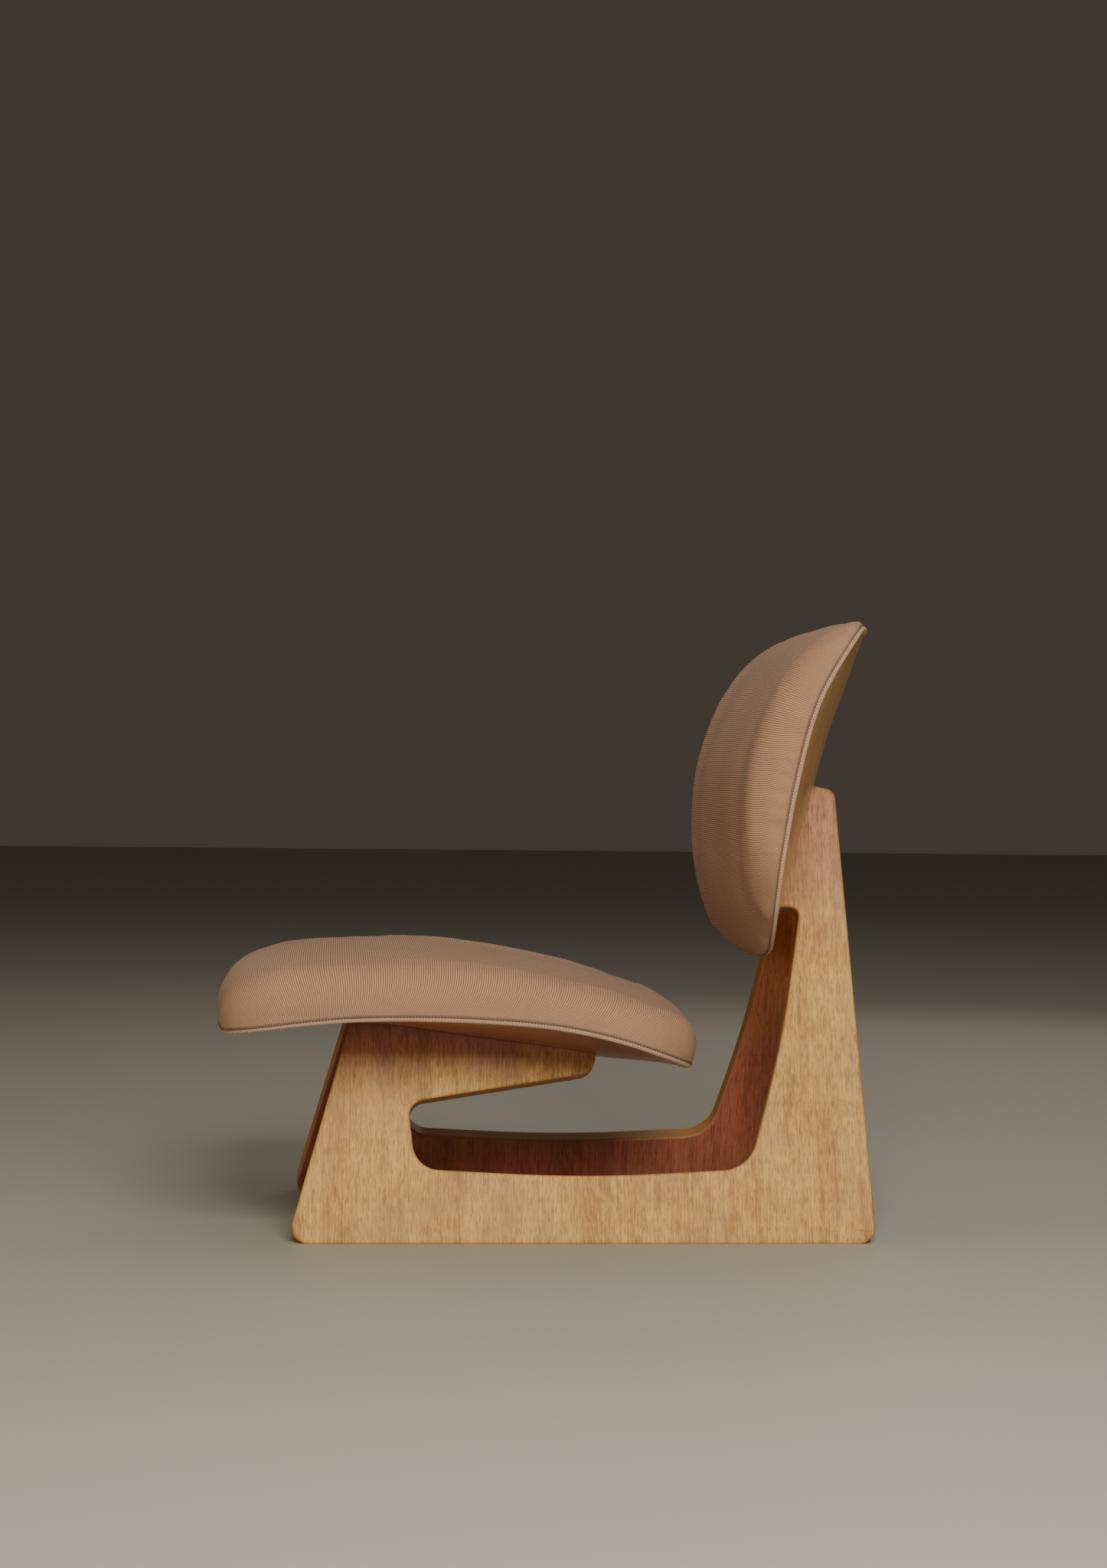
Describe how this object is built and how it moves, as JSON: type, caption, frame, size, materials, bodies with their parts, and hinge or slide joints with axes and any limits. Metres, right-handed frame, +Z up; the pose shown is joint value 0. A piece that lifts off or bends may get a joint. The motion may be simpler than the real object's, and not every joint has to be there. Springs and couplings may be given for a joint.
{
  "type": "lounge chair",
  "caption": "Low armless lounge chair: two leaning plywood side panels carry a dished seat overhanging at the front and a curved back, both upholstered with piping.",
  "frame": {"origin": "floor level, under the middle of the chair's box", "axes": "+X to the sitter's left, +Y to the rear of the chair, +Z up"},
  "size_m": [0.5394, 0.686, 0.6403],
  "materials": {
    "panel_veneer": "pale open-grained veneer, satin lacquer",
    "shell_veneer": "amber moulded veneer, satin lacquer",
    "rail_wood": "red-brown wood, satin",
    "dowel_beech": "plain, glued in",
    "cover_fabric": "dusty rose-beige ribbed twill",
    "piping_fabric": "twisted cord in the cover's colour",
    "foam": "upholstery foam, out of sight",
    "steel": "plain steel"
  },
  "bodies": {
    "root": {"side_panel_left": "panel_veneer", "side_panel_right": "panel_veneer", "seat_cross_rail": "rail_wood", "seat_rail_dowel_1_left": "dowel_beech", "seat_rail_dowel_1_right": "dowel_beech", "seat_rail_dowel_2_left": "dowel_beech", "seat_rail_dowel_2_right": "dowel_beech", "back_cross_rail": "rail_wood", "back_rail_dowel_1_left": "dowel_beech", "back_rail_dowel_1_right": "dowel_beech", "back_rail_dowel_2_left": "dowel_beech", "back_rail_dowel_2_right": "dowel_beech", "seat_cleat_left": "rail_wood", "seat_cleat_right": "rail_wood", "seat_bolt_1_left": "steel", "seat_bolt_1_right": "steel", "seat_tee_nut_1_left": "steel", "seat_tee_nut_1_right": "steel", "seat_bolt_2_left": "steel", "seat_bolt_2_right": "steel", "seat_tee_nut_2_left": "steel", "seat_tee_nut_2_right": "steel", "seat_cleat_screw_1_left": "steel", "seat_cleat_screw_1_right": "steel", "seat_cleat_screw_2_left": "steel", "seat_cleat_screw_2_right": "steel", "seat_shell": "shell_veneer", "seat_foam": "foam", "seat_cover": "cover_fabric", "seat_piping": "piping_fabric", "back_cleat_left": "rail_wood", "back_cleat_right": "rail_wood", "back_bolt_1_left": "steel", "back_bolt_1_right": "steel", "back_tee_nut_1_left": "steel", "back_tee_nut_1_right": "steel", "back_bolt_2_left": "steel", "back_bolt_2_right": "steel", "back_tee_nut_2_left": "steel", "back_tee_nut_2_right": "steel", "back_cleat_screw_1_left": "steel", "back_cleat_screw_1_right": "steel", "back_cleat_screw_2_left": "steel", "back_cleat_screw_2_right": "steel", "back_shell": "shell_veneer", "back_foam": "foam", "back_cover": "cover_fabric", "back_piping": "piping_fabric"}
  },
  "joints": []
}
